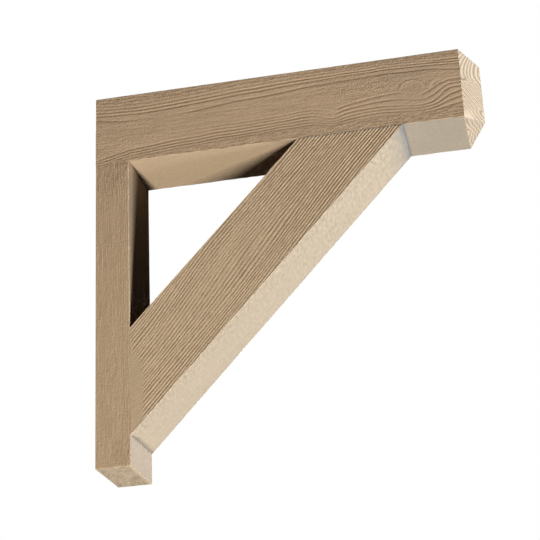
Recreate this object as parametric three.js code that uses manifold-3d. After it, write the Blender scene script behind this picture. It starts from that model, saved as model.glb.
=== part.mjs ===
// Wall bracket of three heavy timbers with brushed grain: a top beam with a bevelled nose, a post against the
// wall and a diagonal brace between them. Millimetres, +X out from the wall, +Y along the wall, +Z up.
// The origin is the middle of the wall face.

import * as THREE from "three";
import { mergeVertices } from "three/addons/utils/BufferGeometryUtils.js";
import Module from "manifold-3d";

// Driving sizes, mm.
const BRACKET_HEIGHT = 812.8; // top of the beam to the foot of the post
const TIMBER_WIDTH = 152.4; // all three timbers, along the wall
const BEAM_LENGTH = 776; // wall to the shoulders where the nose starts
const BEAM_HEIGHT = 156;
const NOSE_REACH = 36.8; // shoulders to the front of the nose's upright ridge
const NOSE_CROWN_DROP = 9; // top of the beam to the ridge's upper end
const NOSE_CHIN_RISE = 18; // underside of the beam to the ridge's lower end
const NOSE_RIDGE_RADIUS = 14; // the ridge is eased by hand to this radius
const POST_THICKNESS = 72; // wall to the post's front
const BRACE_DEPTH = 155; // square across the brace
const BRACE_REACH = 649; // wall to the line where the brace's underside meets the beam
const BRACE_DROP = 750; // top of the beam to the line where the brace's underside meets the post
const JOINT_GAP = 0.3; // open line at each butt joint
const RIDGE_STEPS = 6; // flats along the eased ridge

// Heights that the timbers share.
const beamTop = BRACKET_HEIGHT / 2;
const beamUnderside = beamTop - BEAM_HEIGHT;
const postFoot = beamTop - BRACKET_HEIGHT;
const braceHeel = beamTop - BRACE_DROP;

// The brace's slope follows from its two ends, and its upper edge runs parallel to the lower one.
const braceSlope = Math.atan2(beamUnderside - braceHeel, BRACE_REACH - POST_THICKNESS);

const wasm = await Module();
wasm.setup();

// A closed geometry as a solid that can be joined and cut.
function toSolid(geometry) {
  const bare = geometry.index ? geometry.toNonIndexed() : geometry.clone();
  bare.deleteAttribute("normal");
  bare.deleteAttribute("uv");
  const merged = mergeVertices(bare, 1e-4);
  return new wasm.Manifold(
    new wasm.Mesh({
      numProp: 3,
      vertProperties: new Float32Array(merged.attributes.position.array),
      triVerts: new Uint32Array(merged.index.array),
    }),
  );
}

function toGeometry(solid) {
  const mesh = solid.getMesh();
  const geometry = new THREE.BufferGeometry();
  geometry.setAttribute("position", new THREE.BufferAttribute(mesh.vertProperties, 3));
  geometry.setIndex(new THREE.BufferAttribute(mesh.triVerts, 1));
  geometry.computeVertexNormals();
  return geometry;
}

// An outline seen from the side, in X and Z, made as wide as the timbers and centred on Y = 0.
function sawnFromSide(outline) {
  const geometry = new THREE.ExtrudeGeometry(outline, { depth: TIMBER_WIDTH, bevelEnabled: false });
  geometry.rotateX(Math.PI / 2);
  geometry.translate(0, TIMBER_WIDTH / 2, 0);
  return geometry;
}

// An outline seen from above, in X and Y, as high as the beam.
function sawnFromAbove(outline) {
  const geometry = new THREE.ExtrudeGeometry(outline, { depth: BEAM_HEIGHT, bevelEnabled: false });
  geometry.translate(0, 0, beamUnderside);
  return geometry;
}

function outlineThrough(points) {
  return new THREE.Shape(points.map(([u, v]) => new THREE.Vector2(u, v)));
}

// The nose seen from above: two bevels, from the shoulders, that run into the ridge's round front.
function ridgeArc() {
  const half = TIMBER_WIDTH / 2;
  const setback = NOSE_REACH - NOSE_RIDGE_RADIUS;
  const lean = Math.atan2(setback, half) + Math.asin(NOSE_RIDGE_RADIUS / Math.hypot(setback, half));
  const centre = BEAM_LENGTH + setback;
  const points = [];
  for (let i = 0; i <= RIDGE_STEPS; i += 1) {
    const angle = lean * ((2 * i) / RIDGE_STEPS - 1);
    points.push([
      centre + NOSE_RIDGE_RADIUS * Math.cos(angle),
      NOSE_RIDGE_RADIUS * Math.sin(angle),
    ]);
  }
  return points;
}

function makeTopBeam() {
  const tip = BEAM_LENGTH + NOSE_REACH;
  const side = outlineThrough([
    [0, beamUnderside],
    [BEAM_LENGTH, beamUnderside],
    [tip, beamUnderside + NOSE_CHIN_RISE],
    [tip, beamTop - NOSE_CROWN_DROP],
    [BEAM_LENGTH, beamTop],
    [0, beamTop],
  ]);
  const plan = outlineThrough([
    [0, -TIMBER_WIDTH / 2],
    [BEAM_LENGTH, -TIMBER_WIDTH / 2],
    ...ridgeArc(),
    [BEAM_LENGTH, TIMBER_WIDTH / 2],
    [0, TIMBER_WIDTH / 2],
  ]);
  return toGeometry(toSolid(sawnFromSide(side)).intersect(toSolid(sawnFromAbove(plan))));
}

function makeWallPost() {
  const head = beamUnderside - JOINT_GAP;
  return sawnFromSide(
    outlineThrough([
      [0, postFoot],
      [POST_THICKNESS, postFoot],
      [POST_THICKNESS, head],
      [0, head],
    ]),
  );
}

// The brace's ends are cut to lie flat under the beam and against the post.
function makeDiagonalBrace() {
  const head = beamUnderside - JOINT_GAP;
  const foot = POST_THICKNESS + JOINT_GAP;
  const rise = Math.tan(braceSlope);
  const upperEdge = BRACE_DEPTH / Math.cos(braceSlope);
  const lowerAt = (x) => braceHeel + (x - POST_THICKNESS) * rise;
  const lowerReach = (z) => POST_THICKNESS + (z - braceHeel) / rise;
  return sawnFromSide(
    outlineThrough([
      [foot, lowerAt(foot)],
      [lowerReach(head), head],
      [lowerReach(head - upperEdge), head],
      [foot, lowerAt(foot) + upperEdge],
    ]),
  );
}

function timber(name, geometry, color, roughness) {
  const material = new THREE.MeshStandardMaterial({ color, roughness, metalness: 0 });
  const mesh = new THREE.Mesh(geometry, material);
  mesh.name = name;
  return mesh;
}

const bracket = new THREE.Group();
bracket.add(timber("top_beam", makeTopBeam(), 0xb69c7c, 0.8));
bracket.add(timber("wall_post", makeWallPost(), 0xb0967a, 0.82));
bracket.add(timber("diagonal_brace", makeDiagonalBrace(), 0xb39a7d, 0.82));

export default bracket;
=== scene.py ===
"""A wall bracket of three brushed timbers: a top beam with a bevelled nose, a wall post and a brace.

Sizes are in millimetres, in the bracket's own frame, and MM turns them into the scene's metres.
"""

import math

import bpy
import numpy as np
from mathutils import Matrix, Vector

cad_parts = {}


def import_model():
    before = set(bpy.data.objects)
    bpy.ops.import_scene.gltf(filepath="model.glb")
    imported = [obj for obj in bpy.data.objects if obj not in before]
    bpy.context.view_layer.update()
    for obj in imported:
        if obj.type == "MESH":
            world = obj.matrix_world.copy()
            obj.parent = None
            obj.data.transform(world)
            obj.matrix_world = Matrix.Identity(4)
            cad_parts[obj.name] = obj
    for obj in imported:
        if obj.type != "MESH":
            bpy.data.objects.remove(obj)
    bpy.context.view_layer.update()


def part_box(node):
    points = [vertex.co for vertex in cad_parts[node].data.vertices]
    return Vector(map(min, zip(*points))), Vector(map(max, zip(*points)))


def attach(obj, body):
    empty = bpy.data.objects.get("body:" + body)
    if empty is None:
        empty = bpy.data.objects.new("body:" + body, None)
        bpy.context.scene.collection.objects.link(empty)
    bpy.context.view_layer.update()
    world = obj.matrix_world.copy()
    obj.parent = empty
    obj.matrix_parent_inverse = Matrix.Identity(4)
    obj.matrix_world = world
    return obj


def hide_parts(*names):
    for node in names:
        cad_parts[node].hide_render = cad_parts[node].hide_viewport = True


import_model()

MM = 0.001


def node_box(node):
    """A timber's lowest and highest corner, mm."""
    low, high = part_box(node)
    return np.array(low) / MM, np.array(high) / MM


BEAM_LOW, BEAM_HIGH = node_box("top_beam")
POST_LOW, POST_HIGH = node_box("wall_post")
BRACE_LOW, BRACE_HIGH = node_box("diagonal_brace")
HALF_WIDTH = BEAM_HIGH[1]

# The beam's nose, as sawn.
NOSE_REACH = 36.8
NOSE_CROWN_DROP = 9.0
NOSE_CHIN_RISE = 18.0
NOSE_RIDGE_RADIUS = 14.0
NOSE_SOFTNESS = 2.0  # how far the bevels run into each other
ARCH_PITCH = 13.6  # growth rings on the nose's bevels
ROUND_PITCH = 7.3  # and over its chin
WEAVE_PITCH = 5.3  # fine weave across the middle of the nose
CHECK_DROP = 71.0  # the drying crack that runs off the beam's broad side over the nose, below the top
SHOULDER = BEAM_HIGH[0] - NOSE_REACH
ARCH_LEVEL = BEAM_HIGH[2] - 58.0  # where the arches stand upright at the shoulders
ARCH_LEAN = 0.4  # how much higher that is for each step towards the ridge
ARCH_BEND = 65.0  # above it, a larger value bends them less
ARCHES_FOOT = 98.0  # how far above the beam's underside they give way to the weave, at the shoulders
ROUND_LEVEL = BEAM_LOW[2] + 34.0  # the middle of the rounds
ROUND_FLATNESS = 0.47  # their height as a share of their width
ROUNDS_TOP = 10.0  # how far above the beam's underside they end, at the shoulders
WALL_END_HEART = (24.0, BEAM_LOW[2] - 46.0)  # middle of the rings on the beam's wall end, across and up

# The brace.
BRACE_DEPTH = 155.0
BRACE_SLOPE = math.atan2(BRACE_HIGH[2] - BRACE_LOW[2], BRACE_HIGH[0] - BRACE_LOW[0])
BRACE_TOE = BRACE_HIGH[0] - BRACE_DEPTH / math.sin(BRACE_SLOPE)  # where its upper edge meets the beam
BRACE_SHOULDER = BRACE_LOW[2] + BRACE_DEPTH / math.cos(BRACE_SLOPE)  # and where it meets the post
BRACE_RIDGE_PITCH = 6.0
BRACE_CLIMB = 0.036  # how much its grain climbs for each step along it
KNEE_CLIMB = 14.0  # and how much more at its knee

# The post.
POST_GRAIN_PITCH = 4.9
FOOT_HEART = (60.0, 110.0)  # middle of the rings on its foot, across and out

# Surface finish.
ARRIS = 1.4  # radius of the worn edges
SHARP_ANGLE = 70.0  # only the sawn edges at the butt joints turn more than this
JOINT_CLOSING = 0.25  # how far the post's and the brace's ends reach into the plain solids' joint gaps
JOINT_SOFTNESS = 2.0  # length over which a worn edge turns sharp at a joint
FLAT_DEPTH = 0.9  # depth of brushing at which a broad side shows its valley colour, which is partly grain colour and partly painted shade
END_RING_PITCH = 8.5  # growth rings on the beam's wall end and the post's foot
SAW_PITCH = 4.3
PIT_DEPTH = 0.12
PIT_SIZE = 1.7
STREAK_HEIGHT = 0.5  # fibres and grit too fine for the mesh
GRIT_HEIGHT = 0.7
SHADE_AND_GRIME_LOSSES = (0.53, 0.43, 0.26)  # how much red, green and blue the painted shade and grime take away, red most, so they also grey the colour
BASE_SHADE = 0.82  # the finest marks shade the colours from here up
MOTTLE_SHADE = 0.12
STREAK_SHADE = 0.14
GRIT_SHADE = 0.1
BLOT_SHADE = 0.6

# Spacing of the mesh along a timber, across its width, and across the grain of its broad sides.
BEAM_STEPS = (4.2, 2.35, 1.5)
POST_STEPS = (3.4, 2.6, 1.5)
BRACE_STEPS = (3.6, 3.0, 1.35)
KNOTTY_FROM = 470.0  # past this distance from the wall the beam's mesh is closer
KNOTTY_STEP = 2.7
EASING_ROWS = [0.0, 0.5, 1.1, 1.9, 3.0]  # places near a worn edge

# The grain of the beam's photographed face. Each line is its drop below the top at the stations, which are
# distances out from the wall. Between the upper and the lower lines lies the smooth heartwood.
STATIONS = (0, 60, 110, 200, 300, 400, 470, 505, 540, 600, 650, 695, 715, 730, 745, 776)
CROWN_GROOVE = (42, 45, 46.5, 42, 35.5, 31, 28.5, 27.5, 26, 25, 25.5, 27, 28, 29, 30, 32)
HEART_TOP = (51, 61, 62.5, 60, 50, 45, 39, 38, 37, 35, 35, 36, 37.5, 39, 41, 45)
HEART_FOOT = (129, 116, 106, 100, 98, 95, 93, 99, 91, 82, 80, 89, 80, 72, 66, 64)
SECOND_RIDGE = (143, 130, 123.5, 117, 112, 108.5, 107, 117, 109, 105, 109, 113, 108, 98, 86, 82)
THIRD_RIDGE = (150, 137, 130.5, 124, 119, 115.5, 114, 123, 117, 112, 116, 119, 116, 110, 101, 91)
FIFTH_RIDGE = (162, 149, 143, 137, 131.5, 128, 126, 133, 130, 126, 130, 132, 130, 127, 123, 118)
RIDGE_PITCH = 6.3  # below the fifth ridge
# Station, drop, half length and half height: the smooth patch where the lines part, the knot, the little
# curl between the knot and the nose, and the coarse patch before the knot.
SWIRL = (508, 86, 11, 26)
KNOT = (674, 80, 25, 21)
CURL = (728, 80, 17, 17)
DOTTED_PATCH = (585, 60, 75, 24)
GROOVE_SETBACK = 3.5  # from a ridge line of the lower grain down to the groove under it
GROOVE_WIDTH = 1.5
UNDER_KNOT = 668  # station where the lower ridges are faint
TOP_GROOVE_DROP = 19.5  # where one more bold groove lies near the nose
# The close grooves above the heartwood: their pitch at stations, and their depth counted up from the lowest.
CROWN_PITCH_STATIONS = (150, 330, 480, 560, 700)
CROWN_PITCHES = (7.8, 8.0, 7.6, 6.0, 5.6)
CROWN_COUNTS = (0, 1, 2, 3, 5, 8)
CROWN_CUTS = (1.3, 1.15, 0.65, 0.4, 0.26, 0.2)

# The smooth noise reads a fixed random lattice, and each seed starts at its own place in it.
LATTICE_SIZE = 256
LATTICE = np.random.default_rng(11).random((LATTICE_SIZE, LATTICE_SIZE))
SEED_STEP_ALONG = 37.17
SEED_STEP_ACROSS = 11.71


def wander(along, across, long, wide, seed=0):
    """Smooth noise from -1 to 1, with swells about long by wide."""
    a = along / long + SEED_STEP_ALONG * seed
    b = across / wide + SEED_STEP_ACROSS * seed
    i = np.floor(a).astype(int)
    j = np.floor(b).astype(int)
    a = a - i
    b = b - j
    a = a * a * (3 - 2 * a)
    b = b * b * (3 - 2 * b)

    def at(di, dj):
        return LATTICE[(i + di) % LATTICE_SIZE, (j + dj) % LATTICE_SIZE]

    near = at(0, 0) * (1 - a) + at(1, 0) * a
    far = at(0, 1) * (1 - a) + at(1, 1) * a
    return 2 * (near * (1 - b) + far * b) - 1


def ramp(value, start, end):
    """0 before start, 1 after end, smooth between."""
    t = np.clip((value - start) / (end - start), 0, 1)
    return t * t * (3 - 2 * t)


def before(value, end, soft):
    """1 before end, 0 after it."""
    return ramp(-value, -end - soft, -end + soft)


def between(value, start, end, soft=8.0):
    """1 between start and end, 0 outside."""
    return ramp(value, start - soft, start + soft) * before(value, end, soft)


def bell(value, width):
    """1 where value is 0, fading out over width on both sides."""
    return np.exp(-((value / width) ** 2))


def beats(count, sharpness=1.0):
    """Even waves, 1 at each whole count and 0 half way between."""
    return (0.5 + 0.5 * np.cos(count * 2 * math.pi)) ** sharpness


def grain_line(station, drops):
    """A grain line's drop at a station, as a smooth curve through the drops at STATIONS."""
    places = np.array(STATIONS, float)
    drops = np.array(drops, float)
    slopes = np.gradient(drops, places)
    i = np.clip(np.searchsorted(places, station) - 1, 0, len(places) - 2)
    length = places[i + 1] - places[i]
    t = np.clip((station - places[i]) / length, 0, 1)
    start = (1 + 2 * t) * (1 - t) ** 2 * drops[i] + t * (1 - t) ** 2 * length * slopes[i]
    end = t**2 * (3 - 2 * t) * drops[i + 1] + t**2 * (t - 1) * length * slopes[i + 1]
    return start + end


def reach_from(station, drop, patch):
    """Distance from the middle of a knot or another patch, 1 on its rim."""
    middle, height, half_length, half_height = patch
    return np.hypot((station - middle) / half_length, (drop - height) / half_height)


def crown_grooves(station, drop):
    """The close grooves above the heartwood, deepest next to it."""
    pitch = np.interp(station, CROWN_PITCH_STATIONS, CROWN_PITCHES)
    beat = (grain_line(station, CROWN_GROOVE) - drop) / pitch
    groove = beats(beat, 2.4) * ramp(beat, -0.5, -0.1)
    cut = np.interp(beat, CROWN_COUNTS, CROWN_CUTS)
    cut = cut * (0.85 + 0.35 * wander(station, beat, 60, 1.0, 2) + 0.15 * wander(station, beat, 11, 1.0, 3))
    cut = cut * (1 + 0.2 * ramp(station, 320, 400) - 0.48 * bell(station - 400, 140) * ramp(beat, 1, 2.2))
    last = 0.9 * bell(drop - TOP_GROOVE_DROP, 1.3) * ramp(station, 700, 735)
    return groove * cut + last, beat


def foot_ridges(station, drop):
    """The ridges below the heartwood, each over a groove. They bend round the swirl and the knot."""
    foot = grain_line(station, HEART_FOOT)
    second = grain_line(station, SECOND_RIDGE)
    third = grain_line(station, THIRD_RIDGE)
    fifth = grain_line(station, FIFTH_RIDGE)
    pitch = np.where(drop < foot, 9.0, (second - foot) / 2)
    beat = (drop - foot) / pitch
    for start, first_beat, step in (
        (second, 2, third - second),
        (third, 3, (fifth - third) / 2),
        (fifth, 5, RIDGE_PITCH + 0 * fifth),
    ):
        pitch = np.where(drop < start, pitch, step)
        beat = np.where(drop < start, beat, first_beat + (drop - start) / step)
    lag = beat - GROOVE_SETBACK / pitch
    groove = bell((lag - np.round(lag)) * pitch, GROOVE_WIDTH)
    past_swirl = ramp(station, 500, 530)
    # The first two ridges are strong only past the swirl, and the others are faint by the swirl and the knot.
    upper = 0.25 * ramp(station, 90, 200) + 0.2 * between(station, 250, 480)
    upper = upper + (0.6 - 0.5 * bell(station - UNDER_KNOT, 34)) * past_swirl
    upper = upper * ramp(beat, -0.6, -0.1)
    lower = 0.9 - 0.15 * ramp(station, 300, 360) + 0.35 * ramp(station, 690, 730)
    lower = lower - 0.25 * bell(station - 490, 30) - 0.45 * bell(station - UNDER_KNOT, 34)
    lower = lower + 0.25 * wander(station, beat, 50, 1.0, 8)
    lower = lower + 0.15 * wander(station, beat, 12, 1.0, 7)
    cut = upper + (lower - upper) * ramp(beat, 1.6, 2.1)
    return groove * cut * ramp(6.4 - beat, 0, 1.2), beat


def beam_grit(station, drop):
    """Where the beam's broad faces are coarser: the dotted patch, the edges and the end by the wall."""
    middle, height, half_length, half_height = DOTTED_PATCH
    patch = bell(station - middle, half_length) * bell(drop - height, half_height)
    edges = ramp(drop, 126, 140) + ramp(-drop, -26, -12)
    return 1 + 1.6 * patch + 0.7 * edges + 0.5 * bell(station - 40, 70)


def beam_face(station, drop):
    """How deep the brushing has cut the beam's broad faces, mm."""
    drop = drop + 0.9 * wander(station, drop, 45, 30, 1)
    grooves, above = crown_grooves(station, drop)
    ridges, below = foot_ridges(station, drop)
    border = bell(drop - grain_line(station, HEART_TOP), 1.7) * (0.85 - 0.7 * bell(station - 140, 62))
    knot = reach_from(station, drop, KNOT)
    swirl = reach_from(station, drop, SWIRL)
    clear = ramp(knot, 0.85, 1.05) * ramp(swirl, 0.8, 1.3)
    brow = (bell(knot - 1, 0.09) - 0.8 * bell(knot - 1.17, 0.08)) * ramp(KNOT[1] - drop, 0, 12)
    curl = reach_from(station, drop, CURL)
    curl = (bell(curl - 1, 0.14) - 0.7 * bell(curl - 0.6, 0.18)) * ramp(CURL[1] - drop, -4, 8)
    brow = brow + curl * ramp(CURL[0] - station, -12, 2)
    chatter = np.abs(wander(station - 0.8 * drop, drop, 12, 2.7, 9))
    chatter = chatter * np.clip(ramp(above, 2.0, 4.0) + ramp(below, 5.2, 6.4), 0, 1)
    chatter = chatter * (1 + 0.4 * ramp(station, 540, 620) * ramp(drop, 120, 140))
    waves = bell(wander(station, drop, 80, 4.5, 11), 0.3) * ramp(-above, 0.2, 1) * ramp(-below, 0, 0.8)
    speckle = np.abs(wander(station, drop, 5.5, 3.2, 10))
    check = bell(drop - CHECK_DROP - 1.5 * wander(station, 0 * drop, 9, 9, 12), 0.8)
    check = check * ramp(station, 748, 760)
    depth = clear * (grooves + ridges + border) - 0.45 * brow
    speckle = speckle * (0.08 + 0.14 * beam_grit(station, drop))
    return 0.1 + depth + 0.65 * chatter + 0.2 * waves + speckle + 0.9 * check


# The width of the brace's unbrushed strip beside the post, at drops below the brace's upper edge.
STRIP_DROPS = (0, 20, 35, 60, 78, 100, 120, 155)
STRIP_WIDTHS = (0, 4, 9, 25, 39, 42, 37, 37)
# How boldly the brace's ridges stand out, at places along it.
BOLD_PLACES = (150, 200, 280, 360, 440, 520, 600, 700)
BOLD_SHARES = (0.76, 0.7, 0.6, 0.55, 0.57, 0.74, 0.93, 1.16)


def brace_drift(along, drop):
    """How far the brace's grain has climbed. It swings up at a knee, farther on towards the underside."""
    late = ramp(drop, 50, 130)
    knee_start = 160 + 110 * late
    knee_end = 410 + 340 * late
    return BRACE_CLIMB * along + (KNEE_CLIMB + 2 * late) * ramp(along, knee_start, knee_end)


def brace_face(along, across):
    """Brushed ridges on the brace's broad faces, by distance up the brace and above its underside."""
    drop = BRACE_DEPTH - across
    plain = across - brace_drift(along, drop) + 1.6 * wander(along, across, 150, 40, 31)
    beat = plain / BRACE_RIDGE_PITCH + 0.3 * wander(along, plain, 240, 15, 32)
    groove = beats(beat, 2.3)
    vigour = 0.82 + 0.3 * wander(along, plain, 60, 6.5, 33) + 0.25 * wander(along, beat, 9, 1.0, 37)
    bold = np.interp(along, BOLD_PLACES, BOLD_SHARES) * (1 - 0.2 * bell(drop - 77, 28))
    vigour = bold * (vigour + 0.25 * ramp(along, 480, 680) + 0.22 * ramp(drop, 80, 130))
    fine = bold * np.abs(wander(along, plain, 13, 2.5, 34))
    post_edge = across * math.tan(BRACE_SLOPE)
    strip = np.interp(drop, STRIP_DROPS, STRIP_WIDTHS) + 5 * wander(along, across, 22, 7, 35)
    brushed = ramp(along - post_edge - strip, -5, 6)
    speckle = np.abs(wander(along, across, 6, 3, 36))
    ridged = 1.06 * groove * vigour + 0.35 * fine + 0.28 * (1 - bold)
    return 0.38 * (1 - brushed) + brushed * ridged + 0.18 * speckle


def post_face(up, out):
    """The post's broad faces: fine wavy upright grain, and a blotched patch under the beam."""
    plain = out + 2.8 * wander(up, out, 70, 24, 51)
    grain = bell(wander(up, plain, 42, 2.9, 52), 0.4)
    groove = beats(plain / POST_GRAIN_PITCH, 1.6)
    vigour = 0.16 + 0.2 * ramp(up, -60, 120) + 0.14 * wander(up, out, 60, 14, 55)
    blotch = np.abs(wander(up, out, 10, 4.6, 56)) * ramp(up, 165, 215)
    figure = np.abs(wander(up, out, 6, 5, 53)) * bell(up - POST_LOW[2] - 32, 20) * ramp(out, 22, 34)
    speckle = np.abs(wander(up, out, 7, 3, 54))
    return 0.9 * vigour * groove + 0.2 * grain + 0.55 * blotch + 0.6 * figure + 0.2 * speckle


def top_face(along, across):
    """The beam's top: long shallow grooves, plainer than the broad sides."""
    grooves = bell(wander(along, across, 190, 8, 57), 0.3)
    return 0.5 * grooves + 0.2 * np.abs(wander(along, across, 14, 6, 58))


def planed(along, across, seed):
    """The sides that were planed rather than brushed: faint mottling and a few shallow lines."""
    fine = np.abs(wander(along, across, 8, 5, seed))
    broad = np.abs(wander(along, across, 18, 11, seed + 2))
    lines = bell(wander(along, across, 260, 5.5, seed + 1), 0.18)
    return 0.15 * fine + 0.08 * broad + 0.12 * lines


def sawn(along, across, seed):
    """A flat sawn side with fine cross marks."""
    marks = beats((along + 3 * wander(along, across, 60, 90, seed)) / SAW_PITCH)
    return 0.12 * marks + 0.15 * np.abs(wander(along, across, 5, 5, seed + 1))


def end_rings(across, up, heart, seed):
    """Growth rings on a sawn end, 1 in the dark late wood and 0 in the pale early wood."""
    radius = np.hypot(across - heart[0], up - heart[1])
    radius = radius + 2.2 * wander(across, up, 40, 40, seed)
    return beats(radius / END_RING_PITCH + 0.3 * wander(radius, 0 * radius, 26, 9, seed + 1), 1.8)


def grid_places(length, step, easings=(True, True), dense_after=None, dense_step=None):
    """Places along an edge: the step between them is small at eased ends, to round them."""
    head = EASING_ROWS if easings[0] else [0.0]
    tail = [length - place for place in reversed(EASING_ROWS)] if easings[1] else [length]
    middle_start = head[-1]
    middle_end = tail[0]
    if dense_after is None:
        count = max(1, round((middle_end - middle_start) / step))
        middle = np.linspace(middle_start, middle_end, count + 1)
    else:
        coarse_count = max(2, round((dense_after - middle_start) / step))
        dense_count = max(2, round((middle_end - dense_after) / dense_step))
        coarse = np.linspace(middle_start, dense_after, coarse_count + 1)
        dense = np.linspace(dense_after, middle_end, dense_count + 1)
        middle = np.concatenate([coarse, dense[1:]])
    return np.concatenate([head[:-1], middle, tail[1:]])


def box_skin(places):
    """A closed skin of quads round a box: its points, and its faces turned outwards."""
    counts = [len(p) for p in places]
    shell = np.zeros(counts, bool)
    for axis in range(3):
        for end in (0, -1):
            shell[tuple(end if a == axis else slice(None) for a in range(3))] = True
    index = -np.ones(counts, int)
    index[shell] = np.arange(shell.sum())
    points = np.stack([places[a][np.nonzero(shell)[a]] for a in range(3)], axis=1)
    quads = []
    for axis in range(3):
        for end in (0, -1):
            sheet = index[tuple(end if a == axis else slice(None) for a in range(3))]
            corners = [sheet[:-1, :-1], sheet[1:, :-1], sheet[1:, 1:], sheet[:-1, 1:]]
            quad = np.stack(corners, axis=-1).reshape(-1, 4)
            outward = (end == -1) == (axis != 1)
            quads.append(quad if outward else quad[:, ::-1])
    return points, np.concatenate(quads)


def eased(points, places, easings, share=1.0, broad=1):
    """Rounds the box's edges, except at ends that butt against another timber. Gives points and normals.

    A point on an edge that stays sharp belongs to the side across the broad axis.
    """
    low = np.array([p[0] for p in places])
    high = np.array([p[-1] for p in places])
    radius = np.broadcast_to(ARRIS * np.asarray(share, float), len(points))[:, None]
    inner_low = low + radius * np.array([e[0] for e in easings])
    inner_high = high - radius * np.array([e[1] for e in easings])
    core = np.clip(points, inner_low, inner_high)
    arm = points - core
    length = np.linalg.norm(arm, axis=1, keepdims=True)
    flat = length[:, 0] < 1e-9
    normals = arm / np.maximum(length, 1e-9)
    rounded = core + normals * radius
    rounded[flat] = points[flat]
    for axis in sorted(range(3), key=lambda a: a == broad):
        normals[flat & (points[:, axis] == low[axis])] = -np.eye(3)[axis]
        normals[flat & (points[:, axis] == high[axis])] = np.eye(3)[axis]
    return rounded, normals


class Term:
    """A node's output, on which Python's operators build Math nodes."""

    def __init__(self, bench, socket):
        self.bench = bench
        self.socket = socket

    def _math(self, operation, first, second):
        return self.bench.node("ShaderNodeMath", {"operation": operation}, {0: first, 1: second})

    def __add__(self, other):
        return self._math("ADD", self, other)

    def __radd__(self, other):
        return self._math("ADD", other, self)

    def __sub__(self, other):
        return self._math("SUBTRACT", self, other)

    def __rsub__(self, other):
        return self._math("SUBTRACT", other, self)

    def __mul__(self, other):
        return self._math("MULTIPLY", self, other)

    def __rmul__(self, other):
        return self._math("MULTIPLY", other, self)

    def __truediv__(self, other):
        return self._math("DIVIDE", self, other)

    def __rtruediv__(self, other):
        return self._math("DIVIDE", other, self)

    def cosine(self):
        return self._math("COSINE", self, 0.0)


class Bench:
    """A node tree, with one method that makes any node."""

    def __init__(self, tree):
        self.tree = tree
        tree.nodes.clear()

    def feed(self, socket, value):
        if isinstance(value, Term):
            self.tree.links.new(value.socket, socket)
        else:
            socket.default_value = value

    def node(self, kind, settings=None, sockets=None, output=0):
        made = self.tree.nodes.new(kind)
        for name, value in (settings or {}).items():
            setattr(made, name, value)
        for name, value in (sockets or {}).items():
            self.feed(made.inputs[name], value)
        return Term(self, made.outputs[output]) if len(made.outputs) else made

    def mix(self, factor, first, second, blend="MIX"):
        settings = {"data_type": "RGBA", "blend_type": blend}
        return self.node("ShaderNodeMix", settings, {0: factor, 6: first, 7: second}, output=2)

    def scaled(self, vector, factors):
        return self.node("ShaderNodeVectorMath", {"operation": "MULTIPLY"}, {0: vector, 1: factors})

    def noise(self, vector, scale, detail=3.0, roughness=0.55):
        sockets = {"Vector": vector, "Scale": scale, "Detail": detail, "Roughness": roughness}
        return self.node("ShaderNodeTexNoise", {"noise_dimensions": "3D"}, sockets)

    def attribute(self, name, output="Fac"):
        settings = {"attribute_type": "GEOMETRY", "attribute_name": name}
        return self.node("ShaderNodeAttribute", settings, output=output)


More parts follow.
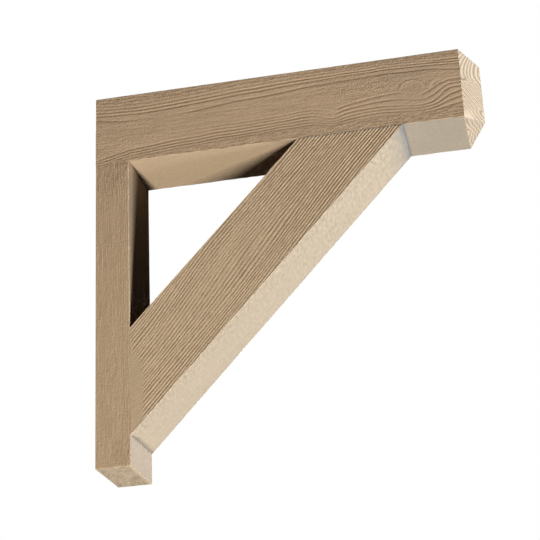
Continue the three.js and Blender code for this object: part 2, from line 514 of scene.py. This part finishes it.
def brushed_wood(
    name,
    crest_colour,
    valley_colour,
    painted_shade_colour,
    painted_lit_colour,
    end_colour,
    late_colour,
):
    """Brushed softwood. The mesh says where it is high or on a worn edge with a painted highlight, planed,
    painted lit, in painted shade or grimy, or end grain.
    """
    material = bpy.data.materials.new(name)
    material.use_nodes = True
    bench = Bench(material.node_tree)
    crest_and_edge_highlight = bench.attribute("crest_and_edge_highlight")
    smooth = bench.attribute("planed")
    painted_lit = bench.attribute("painted_lit")
    painted_shade_and_grime = bench.attribute("painted_shade_and_grime")
    end = bench.attribute("end_grain")
    late = bench.attribute("late_wood")
    grain = bench.attribute("grain", output="Vector")
    mottle = bench.noise(bench.scaled(grain, (1.0, 2.6, 2.6)), 9.0, 2.0)
    streaks = bench.noise(bench.scaled(grain, (1.0, 6.0, 6.0)), 55.0, 3.0, 0.6)
    grit = bench.noise(grain, 250.0, 2.0, 0.6)
    blots = bench.noise(bench.scaled(grain, (1.8, 1.5, 0.7)), 85.0, 2.0, 0.5)
    coarse = bench.attribute("grit")
    # The crest share paints a highlight on worn edges and partly paints shade in the grooves.
    face = bench.mix(crest_and_edge_highlight, valley_colour, crest_colour)
    # The planed colour is a painted lit copy outside the opening and a painted shade copy inside it and on
    # hidden sides.
    flat = bench.mix(painted_lit, painted_shade_colour, painted_lit_colour)
    colour = bench.mix(smooth, face, flat)
    split = bench.node("ShaderNodeSeparateXYZ", {}, {0: grain}).socket.node
    across = Term(bench, split.outputs["Y"])
    up = Term(bench, split.outputs["Z"])
    turns = 2 * math.pi / (WEAVE_PITCH * MM)
    falling = 0.5 + 0.5 * ((up + 0.15 * across) * turns).cosine()
    rising = 0.5 + 0.5 * ((up - 1.05 * across) * turns).cosine()
    weave = bench.attribute("weave") * (0.65 * (falling + rising) - 0.42)
    ends = bench.mix(late + weave, end_colour, late_colour)
    colour = bench.mix(end, colour, ends)
    shade = BASE_SHADE + MOTTLE_SHADE * mottle + STREAK_SHADE * streaks + GRIT_SHADE * grit
    shade = shade + BLOT_SHADE * smooth * coarse * (blots - 0.5)
    # Painted shade, with faint grime round the beam's knot, darkens and greys the colour.
    shades = {band: shade * (1.0 - loss * painted_shade_and_grime) for band, loss in enumerate(SHADE_AND_GRIME_LOSSES)}
    tint = bench.node("ShaderNodeCombineColor", {}, shades)
    colour = bench.mix(1.0, colour, tint, blend="MULTIPLY")
    roughness = 0.7 + 0.16 * streaks + 0.08 * grit
    height = (STREAK_HEIGHT * MM * streaks + GRIT_HEIGHT * MM * grit) * coarse
    bump = bench.node("ShaderNodeBump", {}, {"Strength": 1.0, "Distance": 1.0, "Height": height})
    shader = bench.node(
        "ShaderNodeBsdfPrincipled",
        {},
        {"Base Color": colour, "Roughness": roughness, "Normal": bump, "Specular IOR Level": 0.3},
    )
    bench.node("ShaderNodeOutputMaterial", {}, {"Surface": shader})
    return material


def brushing_tree():
    """Cuts the worked-out grain and fine pits into a timber's skin."""
    tree = bpy.data.node_groups.new("Brushed timber", "GeometryNodeTree")
    bench = Bench(tree)
    socket = tree.interface.new_socket
    socket("Geometry", in_out="OUTPUT", socket_type="NodeSocketGeometry")
    socket("Geometry", in_out="INPUT", socket_type="NodeSocketGeometry")
    for label in ("Grain Depth", "Pit Depth", "Pit Size", "Seed"):
        socket(label, in_out="INPUT", socket_type="NodeSocketFloat")
    socket("Finish", in_out="INPUT", socket_type="NodeSocketMaterial")
    entry = bench.node("NodeGroupInput").socket.node
    given = {s.name: Term(bench, s) for s in entry.outputs if s.name}
    named = "GeometryNodeInputNamedAttribute"
    relief = bench.node(named, {"data_type": "FLOAT"}, {"Name": "relief"})
    outward = bench.node(named, {"data_type": "FLOAT_VECTOR"}, {"Name": "outward"})
    place = bench.node("GeometryNodeInputPosition")
    pits = bench.node(
        "ShaderNodeTexNoise",
        {"noise_dimensions": "4D"},
        {"Vector": place, "W": given["Seed"], "Scale": 1 / given["Pit Size"], "Detail": 1.0},
    )
    pit = bench.node("ShaderNodeMath", {"operation": "MAXIMUM"}, {0: pits - 0.5, 1: 0.0}) * 2.0
    depth = relief * given["Grain Depth"] + pit * given["Pit Depth"]
    offset = bench.node("ShaderNodeVectorMath", {"operation": "SCALE"}, {0: outward, "Scale": depth * -1.0})
    cut = bench.node("GeometryNodeSetPosition", {}, {"Geometry": given["Geometry"], "Offset": offset})
    solid = bench.node("GeometryNodeRealizeInstances", {}, {"Geometry": cut})
    finished = bench.node("GeometryNodeSetMaterial", {}, {"Geometry": solid, "Material": given["Finish"]})
    bench.node("NodeGroupOutput", {}, {0: finished})
    return tree


BRUSHING = brushing_tree()


def make_timber(name, node, points, quads, marks, material, seed):
    """Builds a timber's mesh, brushes it and stands it in for its plain solid."""
    mesh = bpy.data.meshes.new(name)
    mesh.vertices.add(len(points))
    mesh.vertices.foreach_set("co", (points * MM).astype(np.float32).ravel())
    mesh.loops.add(quads.size)
    mesh.loops.foreach_set("vertex_index", quads.astype(np.int32).ravel())
    mesh.polygons.add(len(quads))
    mesh.polygons.foreach_set("loop_start", np.arange(0, quads.size, 4, dtype=np.int32))
    mesh.update(calc_edges=True)
    for label, values in marks.items():
        kind, field = ("FLOAT_VECTOR", "vector") if values.ndim == 2 else ("FLOAT", "value")
        layer = mesh.attributes.new(label, kind, "POINT")
        layer.data.foreach_set(field, values.astype(np.float32).ravel())
    mesh.materials.append(material)
    rough = bpy.data.objects.new(name + "_rough", mesh)
    bpy.context.scene.collection.objects.link(rough)
    modifier = rough.modifiers.new("Brushing", "NODES")
    modifier.node_group = BRUSHING
    settings = {
        "Grain Depth": 1.0,
        "Pit Depth": PIT_DEPTH * MM,
        "Pit Size": PIT_SIZE * MM,
        "Seed": float(seed),
        "Finish": material,
    }
    for item in BRUSHING.interface.items_tree:
        if item.in_out == "INPUT" and item.name in settings:
            modifier[item.identifier] = settings[item.name]
    graph = bpy.context.evaluated_depsgraph_get()
    worked = bpy.data.meshes.new_from_object(rough.evaluated_get(graph))
    rough.modifiers.remove(modifier)
    bpy.data.objects.remove(rough)
    bpy.data.meshes.remove(mesh)
    worked.name = name
    worked.shade_smooth()
    worked.set_sharp_from_angle(angle=math.radians(SHARP_ANGLE))
    piece = bpy.data.objects.new(name, worked)
    bpy.context.scene.collection.objects.link(piece)
    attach(piece, "root")
    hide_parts(node)


def side_weights(normals):
    """How much each of a box's six sides shapes a point: rows for low and high of each axis."""
    parts = []
    for axis in range(3):
        parts.append(np.maximum(0, -normals[:, axis]) ** 2)
        parts.append(np.maximum(0, normals[:, axis]) ** 2)
    return parts


def fade_to_edges(weights):
    """1 on a box's flat sides and 0 on its rounded edges."""
    return np.clip(np.maximum.reduce(weights) * 2 - 1, 0, 1)


def worked_marks(relief, weights, outward, grain, end_grain, late, smooth, painted_lit, painted_shade_and_grime, grit):
    """The attributes that the brushing and the finish read."""
    flat = fade_to_edges(weights)
    return {
        "grit": grit,
        "painted_lit": painted_lit,
        "painted_shade_and_grime": np.clip(painted_shade_and_grime, 0, 1),
        "relief": relief * flat * MM,
        "outward": outward,
        # Painted highlight: worn edges count their depth less, so they take more crest colour. The valley
        # colour is partly grain colour and partly painted shade.
        "crest_and_edge_highlight": np.clip(1 - relief * (0.4 + 0.6 * flat) / FLAT_DEPTH, 0, 1),
        "planed": ramp(smooth, 0.55, 0.95),
        "end_grain": end_grain,
        "late_wood": late,
        "grain": grain * MM,
    }


def nose_lean():
    """The angle that the nose's upright bevels make with the shoulders' plane."""
    setback = NOSE_REACH - NOSE_RIDGE_RADIUS
    return math.atan2(setback, HALF_WIDTH) + math.asin(NOSE_RIDGE_RADIUS / math.hypot(setback, HALF_WIDTH))


def nose_push(across, up):
    """How far the nose stands out of the shoulders' plane."""
    setback = NOSE_REACH - NOSE_RIDGE_RADIUS
    lean = nose_lean()
    touch = NOSE_RIDGE_RADIUS * math.sin(lean)
    y = np.abs(across)
    arc = setback + np.sqrt(np.maximum(0, NOSE_RIDGE_RADIUS**2 - np.minimum(y, touch) ** 2))
    bevel = (HALF_WIDTH - y) * math.tan(lean)
    plan = np.where(y < touch, arc, bevel)
    crown = (BEAM_HIGH[2] - up) * NOSE_REACH / NOSE_CROWN_DROP
    chin = (up - BEAM_LOW[2]) * NOSE_REACH / NOSE_CHIN_RISE
    side = np.minimum(crown, chin)
    blend = np.clip(0.5 + 0.5 * (side - plan) / NOSE_SOFTNESS, 0, 1)
    push = side * (1 - blend) + plan * blend - NOSE_SOFTNESS * blend * (1 - blend)
    return np.clip(push, 0, NOSE_REACH)


def chin_depth(across, up):
    """How far a place on the nose lies below the crease over its chin."""
    bevel = np.minimum((HALF_WIDTH - np.abs(across)) * math.tan(nose_lean()), NOSE_REACH)
    return BEAM_LOW[2] + bevel * NOSE_CHIN_RISE / NOSE_REACH - up


def nose_arches(across, up):
    """Growth rings on the nose's bevels, 1 in the dark late wood. They lean in towards the ridge."""
    inset = HALF_WIDTH - np.abs(across)
    height = up - ARCH_LEVEL - ARCH_LEAN * inset
    bend = np.where(height > 0, height**2 / ARCH_BEND, 1.2 * (np.hypot(10, height) - 10))
    radius = HALF_WIDTH - inset + bend + 2.0 * wander(across, up, 40, 40, 61)
    beat = radius / ARCH_PITCH + 0.3 * wander(radius, 0 * radius, 26, 9, 62)
    return beats(beat, 2.0)


def nose_rounds(across, up):
    """Growth rings over the chin. They spread sideways from a middle a little above it."""
    chin_slope = math.hypot(NOSE_REACH, NOSE_CHIN_RISE) / NOSE_CHIN_RISE
    fall = up - ROUND_LEVEL - (chin_slope - 1) * np.maximum(0, chin_depth(across, up))
    beat = np.hypot(fall, ROUND_FLATNESS * across) / ROUND_PITCH + 0.25 * wander(across, up, 30, 14, 63)
    return beats(beat, 1.4)


def nose_marks(across, up):
    inset = HALF_WIDTH - np.abs(across)
    rise = up - BEAM_LOW[2]
    below = ramp(ROUNDS_TOP + 0.5 * inset - rise, -12, 12)
    above = ramp(rise - ARCHES_FOOT - 0.14 * inset, -14, 10)
    middle = 1 - below - above
    below = below * np.maximum(ramp(inset, 10, 40), ramp(chin_depth(across, up), -1, 2))
    late = nose_arches(across, up) * (0.9 * above + 0.4 * middle) + 0.85 * nose_rounds(across, up) * below
    drop = BEAM_HIGH[2] - up
    check = bell(drop - CHECK_DROP + 0.45 * (across + HALF_WIDTH), 1.2)
    check = check * ramp(-across, HALF_WIDTH - 24, HALF_WIDTH - 15)
    spot = bell(across + HALF_WIDTH - 17, 2.2) * bell(drop - 62, 2.2)
    return np.clip(late + 1.1 * check + spot, 0, 1.3), middle


def make_top_beam(material):
    """The beam. Its nose is pushed out of the box's far end, and its mesh is closest round the knot."""
    along_step, across_step, row_step = BEAM_STEPS
    lengths = grid_places(SHOULDER, along_step, dense_after=KNOTTY_FROM, dense_step=KNOTTY_STEP)
    widths = grid_places(2 * HALF_WIDTH, across_step) - HALF_WIDTH
    heights = grid_places(BEAM_HIGH[2] - BEAM_LOW[2], row_step) + BEAM_LOW[2]
    places = [lengths, widths, heights]
    raw, quads = box_skin(places)
    lower = raw[:, 2] < 0.5 * (BEAM_LOW[2] + BEAM_HIGH[2])
    butted = before(raw[:, 0], POST_HIGH[0], JOINT_SOFTNESS)
    butted = butted + between(raw[:, 0], BRACE_TOE, BRACE_HIGH[0], JOINT_SOFTNESS)
    worn = 1 + lower * (0.2 + 0.85 * wander(raw[:, 0], raw[:, 1], 13, 50, 75))
    points, normals = eased(raw, places, [(True, True)] * 3, worn * (1 - butted * lower))
    over_post = bell(raw[:, 2] - BEAM_LOW[2], 5) * before(raw[:, 0], POST_HIGH[0], 3.0)
    x, y, z = points.T
    drop = BEAM_HIGH[2] - z
    wall, nose, near, far, under, top = weights = side_weights(normals)
    on_nose = raw[:, 0] == SHOULDER
    tilt = np.stack([np.ones(len(x)), 0.4 * np.sign(y), 0 * x], axis=1)
    tilt /= np.linalg.norm(tilt, axis=1, keepdims=True)
    points[:, 0] += np.where(on_nose, nose_push(y, z), 0)
    normals = np.where((nose > 0.6)[:, None], tilt, normals)
    late, weave = nose_marks(y, z)
    nose_share = ramp(nose, 0.1, 0.5)
    relief = near * beam_face(x, drop) * (1 - 0.85 * over_post) + far * beam_face(SHOULDER - x, drop)
    relief = relief + top * top_face(x, y) + under * planed(x, y, 71)
    relief = relief + wall * sawn(z, y, 73) + nose * (0.35 * late + 0.1)
    late = np.where(on_nose, late, end_rings(y, z, WALL_END_HEART, 77))
    grain = np.stack([x, y, z], axis=1)
    # Painted light: the underside past the brace's head takes the painted lit colour, the rest the painted
    # shade colour.
    painted_lit = ramp(x, BRACE_HIGH[0] - 24, BRACE_HIGH[0] - 8)
    # Painted shade lies in the corners by the brace, over the chin and along the joint, and grime lies
    # faintly round the knot.
    on_joint = between(x, BRACE_TOE, BRACE_HIGH[0], 3.0)
    painted_shade_and_grime = under * (bell(x - BRACE_HIGH[0], 3.0) + 0.5 * bell(x - BRACE_TOE, 40))
    chin = chin_depth(y, z)
    painted_shade_and_grime = painted_shade_and_grime + nose_share * ramp(chin, -3, 0) * (0.2 + 0.2 * bell(chin - 4, 9))
    painted_shade_and_grime = painted_shade_and_grime + near * (0.8 * on_joint * bell(z - BEAM_LOW[2], 1.4) + 0.12 * bell(x - KNOT[0], 60))
    grit = 1 - 0.5 * under - 0.3 * far - 0.4 * top + near * (beam_grit(x, drop) - 1)
    end_grain = nose_share + wall
    marks = worked_marks(relief, weights, normals, grain, end_grain, late, under, painted_lit, painted_shade_and_grime, grit)
    marks["weave"] = nose_share * weave
    make_timber("Top_beam", "top_beam", points, quads, marks, material, 3)


def make_wall_post(material):
    """The post. Its front edges are more worn than the others, and sharp where the brace butts on."""
    along_step, across_step, row_step = POST_STEPS
    widths = grid_places(2 * HALF_WIDTH, across_step) - HALF_WIDTH
    depths = grid_places(POST_HIGH[0] - POST_LOW[0], row_step) + POST_LOW[0]
    height = POST_HIGH[2] + JOINT_CLOSING - POST_LOW[2]
    lengths = grid_places(height, along_step, easings=(True, False)) + POST_LOW[2]
    places = [depths, widths, lengths]
    raw, quads = box_skin(places)
    front_half = raw[:, 0] > 0.5 * POST_HIGH[0]
    butted = between(raw[:, 2], BRACE_LOW[2], BRACE_SHOULDER, JOINT_SOFTNESS) * front_half
    worn = 1 + 0.6 * front_half * (1 + 0.6 * wander(raw[:, 2], raw[:, 1], 18, 50, 97))
    points, normals = eased(raw, places, [(True, True), (True, True), (True, False)], worn * (1 - butted))
    x, y, z = points.T
    wall, front, near, far, foot, _ = weights = side_weights(normals)
    blotch = 0.5 + 0.5 * wander(x + 0.2 * y, y, 8, 24, 82)
    flecks = np.abs(wander(x + 0.3 * y, y, 5, 10, 84))
    late = 0.12 * end_rings(y, x, FOOT_HEART, 81) - 0.1
    late = np.clip(late + (0.55 * blotch + 0.8 * flecks) * ramp(POST_HIGH[0] - x, 3, 9), 0, 1)
    broad_relief = post_face(z, x) + 0.3 * ramp(z, POST_HIGH[2] - 5, POST_HIGH[2])
    relief = (near + far) * broad_relief + front * planed(z, y, 91) + wall * sawn(z, y, 93)
    relief = relief + foot * (0.3 * late + 0.3 * np.abs(wander(x, y, 5, 9, 95)))
    grain = np.stack([z, y, x], axis=1)
    # Painted light: the front below the brace's foot takes the painted lit colour, and above it, inside the
    # opening, the painted shade colour.
    painted_lit = ramp(-z, -BRACE_LOW[2] - 40, -BRACE_LOW[2] - 20)
    # Painted shade lies in the corner under the brace's foot.
    below = BRACE_LOW[2] - z
    seam = 0.35 * bell(below, 2.2) + 0.12 * bell(below, 10)
    painted_shade_and_grime = front * seam * (0.7 - 0.9 * wander(y, z, 16, 9, 96))
    grit = 1 - 0.8 * front
    # Painted light: towards the near side, where light reaches past the brace, the inner face is a little
    # less smooth and takes some of the lighter, warmer brushed colour.
    painted_light_strip = ramp(-y, 20, 55) * ramp(z, BRACE_SHOULDER, BRACE_SHOULDER + 10)
    smooth = front * (1 - 0.17 * painted_light_strip)
    marks = worked_marks(relief, weights, normals, grain, foot, late, smooth, painted_lit, painted_shade_and_grime, grit)
    make_timber("Wall_post", "wall_post", points, quads, marks, material, 5)


def make_diagonal_brace(material):
    """The brace, worked out along its run and then laid at its slope, with its ends cut to fit."""
    run = np.array([math.cos(BRACE_SLOPE), 0, math.sin(BRACE_SLOPE)])
    rise = np.array([-math.sin(BRACE_SLOPE), 0, math.cos(BRACE_SLOPE)])
    level = np.array([0.0, 1.0, 0.0])
    heel = np.array([BRACE_LOW[0], 0, BRACE_LOW[2]])
    longest = (BRACE_HIGH[0] - BRACE_LOW[0]) / run[0]
    along_step, across_step, row_step = BRACE_STEPS
    lengths = grid_places(longest, along_step, easings=(False, False))
    depths = grid_places(BRACE_DEPTH, row_step)
    widths = grid_places(2 * HALF_WIDTH, across_step) - HALF_WIDTH
    places = [lengths, depths, widths]
    raw, quads = box_skin(places)
    quads = quads[:, ::-1]  # run, rise and level are left-handed, which turns the skin inside out
    worn = 0.8 + 0.35 * wander(raw[:, 0], raw[:, 1], 14, 50, 45)
    points, normals = eased(raw, places, [(False, False), (True, True), (True, True)], worn, broad=2)
    share = points[:, 0] / longest
    up, y = points[:, 1], points[:, 2]
    start = up * run[2] / run[0] - JOINT_CLOSING / run[0]
    end = longest - up * run[0] / run[2] + JOINT_CLOSING / run[2]
    along = start + share * (end - start)
    _, _, under, upper, near, far = weights = side_weights(normals)
    relief = near * brace_face(along, up) + 0.75 * far * brace_face(longest - along, BRACE_DEPTH - up)
    relief = relief + under * planed(along, y, 41) + upper * planed(along, y, 43)
    place = heel + along[:, None] * run + up[:, None] * rise + y[:, None] * level
    outward = normals[:, :1] * run + normals[:, 1:2] * rise + normals[:, 2:] * level
    grain = np.stack([along, up, y], axis=1)
    # Painted shade lies in the corner at the brace's head, faintly at its foot, and along the joint under the
    # beam.
    to_head = end - along
    painted_shade_and_grime = under * (0.5 * bell(to_head, 12) + 0.42 * bell(to_head, 45) + 0.08 * bell(along - start, 5))
    painted_shade_and_grime = painted_shade_and_grime + 0.75 * near * bell(to_head * run[2], 1.6)
    plain = 0 * up
    # Painted light: the underside takes the painted lit colour, and the hidden upper side the painted shade
    # colour.
    painted_lit = 1.0 * (up < 0.5 * BRACE_DEPTH)
    by_post = bell(np.maximum(0, along - start), 36)
    smooth = under + upper
    grit = 1 - 0.6 * far
    grit = grit + near * (0.5 - 0.8 * ramp(-along, -520, -360) - 0.2 * by_post)
    grit = grit + smooth * (0.9 * ramp(-y, 10, HALF_WIDTH) + 0.5 * ramp(along, 300, 600) - 0.5)
    marks = worked_marks(relief, weights, outward, grain, plain, plain, smooth, painted_lit, painted_shade_and_grime, grit)
    make_timber("Diagonal_brace", "diagonal_brace", place, quads, marks, material, 7)


def soft_light(name, place, size, spread, level, colour):
    """A soft box aimed at the bracket, whose light keeps within an angle in degrees.

    The level is what it gives a white surface that faces it.
    """
    middle = Vector((0.36, 0.0, 0.05))
    away = Vector(place) - middle
    data = bpy.data.lights.new(name, "AREA")
    data.shape = "RECTANGLE"
    data.size, data.size_y = size
    half = math.radians(spread) / 2
    gathered = math.tan(half) / (math.tan(half) - half)  # how much brighter the narrower beam is
    data.spread = 2 * half
    data.energy = level * math.pi**2 * away.length_squared / gathered
    data.color = colour
    light = bpy.data.objects.new(name, data)
    bpy.context.scene.collection.objects.link(light)
    light.location = place
    light.rotation_euler = away.to_track_quat("Z", "Y").to_euler()
    light.visible_camera = False


def make_studio():
    """White surroundings, a pale floor well below, and soft boxes."""
    fill_light = 0.01
    world = bpy.data.worlds.new("Studio")
    bpy.context.scene.world = world
    world.use_nodes = True
    bench = Bench(world.node_tree)
    seen = bench.node("ShaderNodeLightPath", output="Is Camera Ray")
    backdrop = bench.node("ShaderNodeBackground", {}, {"Color": (1, 1, 1, 1), "Strength": 1.0})
    dim = bench.node("ShaderNodeBackground", {}, {"Color": (1, 1, 1, 1), "Strength": fill_light})
    both = bench.node("ShaderNodeMixShader", {}, {0: seen, 1: dim, 2: backdrop})
    bench.node("ShaderNodeOutputWorld", {}, {"Surface": both})

    floor_level = -7.6
    floor_size = 20.0
    bpy.ops.mesh.primitive_plane_add(size=floor_size, location=(0.4, 0.0, floor_level))
    floor = bpy.context.object
    floor.name = "Studio_floor"
    paint = bpy.data.materials.new("Pale_floor")
    paint.use_nodes = True
    bench = Bench(paint.node_tree)
    pale = {"Base Color": (0.8, 0.8, 0.79, 1), "Roughness": 0.9}
    shader = bench.node("ShaderNodeBsdfPrincipled", {}, pale)
    bench.node("ShaderNodeOutputMaterial", {}, {"Surface": shader})
    floor.data.materials.append(paint)

    warm = (1.0, 0.99, 0.97)
    cool = (0.92, 1.0, 1.12)
    white = (1.0, 1.0, 1.0)
    for name, place, size, spread, level, colour in (
        ("Low_front_box", (-0.36, -4.24, -6.75), (0.5, 1.9), 179, 1.21, warm),
        ("Right_box", (6.2, -0.95, -0.65), (1.0, 1.0), 90, 1.4, cool),
        ("Back_box", (0.15, 12.0, 0.15), (0.5, 0.5), 20, 0.7, white),
        ("Top_box", (0.36, 0.0, 1.9), (0.8, 0.14), 120, 0.8, white),
        ("Left_box", (-3.0, 0.0, 0.0), (0.14, 0.14), 40, 0.7, white),
    ):
        soft_light(name, place, size, spread, level, colour)


def make_camera():
    """The photograph's view: from below, in front and a little to the right."""
    azimuth, elevation, roll = math.radians(10.94), math.radians(-22.29), math.radians(-2.56)
    place = Vector((0.8979, -2.8436, -1.1888))
    focal_share = 1530.3 / 540  # focal length over the picture's width
    data = bpy.data.cameras.new("Camera")
    data.sensor_width = 36.0
    data.lens = focal_share * data.sensor_width
    camera = bpy.data.objects.new("Camera", data)
    bpy.context.scene.collection.objects.link(camera)
    back = Vector(
        (
            math.sin(azimuth) * math.cos(elevation),
            -math.cos(azimuth) * math.cos(elevation),
            math.sin(elevation),
        )
    )
    turn = back.to_track_quat("Z", "Y").to_matrix().to_4x4() @ Matrix.Rotation(roll, 4, "Z")
    camera.matrix_world = Matrix.Translation(place) @ turn
    bpy.context.scene.camera = camera


def make_bracket():
    # Each painted shade colour and painted lit colour is a shaded and a lit copy of one planed wood colour.
    beam_wood = brushed_wood(
        "Beam_wood",
        crest_colour=(0.56, 0.39, 0.24, 1),
        valley_colour=(0.36, 0.24, 0.14, 1),
        painted_shade_colour=(0.435, 0.315, 0.195, 1),
        painted_lit_colour=(0.365, 0.307, 0.232, 1),
        end_colour=(0.69, 0.525, 0.345, 1),
        late_colour=(0.28, 0.2, 0.127, 1),
    )
    post_wood = brushed_wood(
        "Post_wood",
        crest_colour=(0.525, 0.362, 0.217, 1),
        valley_colour=(0.36, 0.245, 0.145, 1),
        # Painted shadow: the post's painted shade colour is nearly black, for the inside of the opening.
        painted_shade_colour=(0.2, 0.138, 0.076, 1),
        painted_lit_colour=(0.56, 0.43, 0.3, 1),
        end_colour=(0.5, 0.39, 0.27, 1),
        late_colour=(0.3, 0.235, 0.155, 1),
    )
    brace_wood = brushed_wood(
        "Brace_wood",
        crest_colour=(0.66, 0.478, 0.297, 1),
        valley_colour=(0.34, 0.23, 0.135, 1),
        painted_shade_colour=(0.46, 0.335, 0.21, 1),
        painted_lit_colour=(0.43, 0.34, 0.235, 1),
        end_colour=(0.5, 0.39, 0.27, 1),
        late_colour=(0.38, 0.28, 0.18, 1),
    )
    make_top_beam(beam_wood)
    make_wall_post(post_wood)
    make_diagonal_brace(brace_wood)


bpy.context.scene.view_settings.view_transform = "Standard"
bpy.context.scene.view_settings.look = "None"
make_camera()
make_bracket()
make_studio()

bpy.context.view_layer.update()
